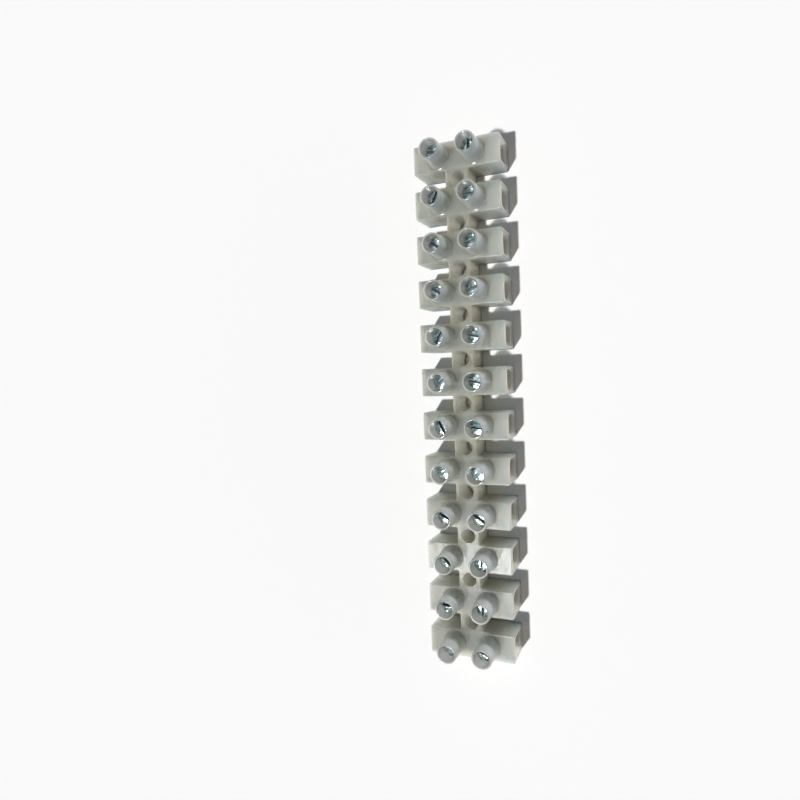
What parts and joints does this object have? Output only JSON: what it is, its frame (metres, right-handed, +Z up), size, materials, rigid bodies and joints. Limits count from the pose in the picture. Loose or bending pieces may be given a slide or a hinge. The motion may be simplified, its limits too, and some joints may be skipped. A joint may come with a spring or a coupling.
{
  "type": "pillar terminal block",
  "caption": "Translucent plastic terminal strip: a row of blocks with hollow screw towers, each clamping wires in a brass sleeve, joined by webs with round fixing holes.",
  "frame": {"origin": "middle of the flat base", "axes": "+X across the strip along the wires, +Y along the strip, +Z up the screw towers"},
  "size_m": [0.0198, 0.1164, 0.0149],
  "materials": {
    "housing_plastic": "milky, translucent, semi-matt moulded plastic",
    "sleeve_brass": "bare brass",
    "screw_zinc": "bright zinc-plated steel"
  },
  "bodies": {
    "strip": {"housing": "housing_plastic", "terminal_sleeve_01": "sleeve_brass", "terminal_sleeve_02": "sleeve_brass", "terminal_sleeve_03": "sleeve_brass", "terminal_sleeve_04": "sleeve_brass", "terminal_sleeve_05": "sleeve_brass", "terminal_sleeve_06": "sleeve_brass", "terminal_sleeve_07": "sleeve_brass", "terminal_sleeve_08": "sleeve_brass", "terminal_sleeve_09": "sleeve_brass", "terminal_sleeve_10": "sleeve_brass", "terminal_sleeve_11": "sleeve_brass", "terminal_sleeve_12": "sleeve_brass"},
    "screw_01_left": {"clamp_screw_01_left": "screw_zinc"},
    "screw_01_right": {"clamp_screw_01_right": "screw_zinc"},
    "screw_02_left": {"clamp_screw_02_left": "screw_zinc"},
    "screw_02_right": {"clamp_screw_02_right": "screw_zinc"},
    "screw_03_left": {"clamp_screw_03_left": "screw_zinc"},
    "screw_03_right": {"clamp_screw_03_right": "screw_zinc"},
    "screw_04_left": {"clamp_screw_04_left": "screw_zinc"},
    "screw_04_right": {"clamp_screw_04_right": "screw_zinc"},
    "screw_05_left": {"clamp_screw_05_left": "screw_zinc"},
    "screw_05_right": {"clamp_screw_05_right": "screw_zinc"},
    "screw_06_left": {"clamp_screw_06_left": "screw_zinc"},
    "screw_06_right": {"clamp_screw_06_right": "screw_zinc"},
    "screw_07_left": {"clamp_screw_07_left": "screw_zinc"},
    "screw_07_right": {"clamp_screw_07_right": "screw_zinc"},
    "screw_08_left": {"clamp_screw_08_left": "screw_zinc"},
    "screw_08_right": {"clamp_screw_08_right": "screw_zinc"},
    "screw_09_left": {"clamp_screw_09_left": "screw_zinc"},
    "screw_09_right": {"clamp_screw_09_right": "screw_zinc"},
    "screw_10_left": {"clamp_screw_10_left": "screw_zinc"},
    "screw_10_right": {"clamp_screw_10_right": "screw_zinc"},
    "screw_11_left": {"clamp_screw_11_left": "screw_zinc"},
    "screw_11_right": {"clamp_screw_11_right": "screw_zinc"},
    "screw_12_left": {"clamp_screw_12_left": "screw_zinc"},
    "screw_12_right": {"clamp_screw_12_right": "screw_zinc"}
  },
  "joints": [
    {"name": "screw_01_left_drive", "type": "slide", "parent": "strip", "child": "screw_01_left", "axis": [0, 0, 1], "range_m": [-0.0027, 0.0007]},
    {"name": "screw_01_right_drive", "type": "slide", "parent": "strip", "child": "screw_01_right", "axis": [0, 0, 1], "range_m": [-0.0027, 0.0007]},
    {"name": "screw_02_left_drive", "type": "slide", "parent": "strip", "child": "screw_02_left", "axis": [0, 0, 1], "range_m": [-0.0027, 0.0007]},
    {"name": "screw_02_right_drive", "type": "slide", "parent": "strip", "child": "screw_02_right", "axis": [0, 0, 1], "range_m": [-0.0027, 0.0007]},
    {"name": "screw_03_left_drive", "type": "slide", "parent": "strip", "child": "screw_03_left", "axis": [0, 0, 1], "range_m": [-0.0027, 0.0007]},
    {"name": "screw_03_right_drive", "type": "slide", "parent": "strip", "child": "screw_03_right", "axis": [0, 0, 1], "range_m": [-0.0027, 0.0007]},
    {"name": "screw_04_left_drive", "type": "slide", "parent": "strip", "child": "screw_04_left", "axis": [0, 0, 1], "range_m": [-0.0027, 0.0007]},
    {"name": "screw_04_right_drive", "type": "slide", "parent": "strip", "child": "screw_04_right", "axis": [0, 0, 1], "range_m": [-0.0027, 0.0007]},
    {"name": "screw_05_left_drive", "type": "slide", "parent": "strip", "child": "screw_05_left", "axis": [0, 0, 1], "range_m": [-0.0027, 0.0007]},
    {"name": "screw_05_right_drive", "type": "slide", "parent": "strip", "child": "screw_05_right", "axis": [0, 0, 1], "range_m": [-0.0027, 0.0007]},
    {"name": "screw_06_left_drive", "type": "slide", "parent": "strip", "child": "screw_06_left", "axis": [0, 0, 1], "range_m": [-0.0027, 0.0007]},
    {"name": "screw_06_right_drive", "type": "slide", "parent": "strip", "child": "screw_06_right", "axis": [0, 0, 1], "range_m": [-0.0027, 0.0007]},
    {"name": "screw_07_left_drive", "type": "slide", "parent": "strip", "child": "screw_07_left", "axis": [0, 0, 1], "range_m": [-0.0027, 0.0007]},
    {"name": "screw_07_right_drive", "type": "slide", "parent": "strip", "child": "screw_07_right", "axis": [0, 0, 1], "range_m": [-0.0027, 0.0007]},
    {"name": "screw_08_left_drive", "type": "slide", "parent": "strip", "child": "screw_08_left", "axis": [0, 0, 1], "range_m": [-0.0027, 0.0007]},
    {"name": "screw_08_right_drive", "type": "slide", "parent": "strip", "child": "screw_08_right", "axis": [0, 0, 1], "range_m": [-0.0027, 0.0007]},
    {"name": "screw_09_left_drive", "type": "slide", "parent": "strip", "child": "screw_09_left", "axis": [0, 0, 1], "range_m": [-0.0027, 0.0007]},
    {"name": "screw_09_right_drive", "type": "slide", "parent": "strip", "child": "screw_09_right", "axis": [0, 0, 1], "range_m": [-0.0027, 0.0007]},
    {"name": "screw_10_left_drive", "type": "slide", "parent": "strip", "child": "screw_10_left", "axis": [0, 0, 1], "range_m": [-0.0027, 0.0007]},
    {"name": "screw_10_right_drive", "type": "slide", "parent": "strip", "child": "screw_10_right", "axis": [0, 0, 1], "range_m": [-0.0027, 0.0007]},
    {"name": "screw_11_left_drive", "type": "slide", "parent": "strip", "child": "screw_11_left", "axis": [0, 0, 1], "range_m": [-0.0027, 0.0007]},
    {"name": "screw_11_right_drive", "type": "slide", "parent": "strip", "child": "screw_11_right", "axis": [0, 0, 1], "range_m": [-0.0027, 0.0007]},
    {"name": "screw_12_left_drive", "type": "slide", "parent": "strip", "child": "screw_12_left", "axis": [0, 0, 1], "range_m": [-0.0027, 0.0007]},
    {"name": "screw_12_right_drive", "type": "slide", "parent": "strip", "child": "screw_12_right", "axis": [0, 0, 1], "range_m": [-0.0027, 0.0007]}
  ]
}
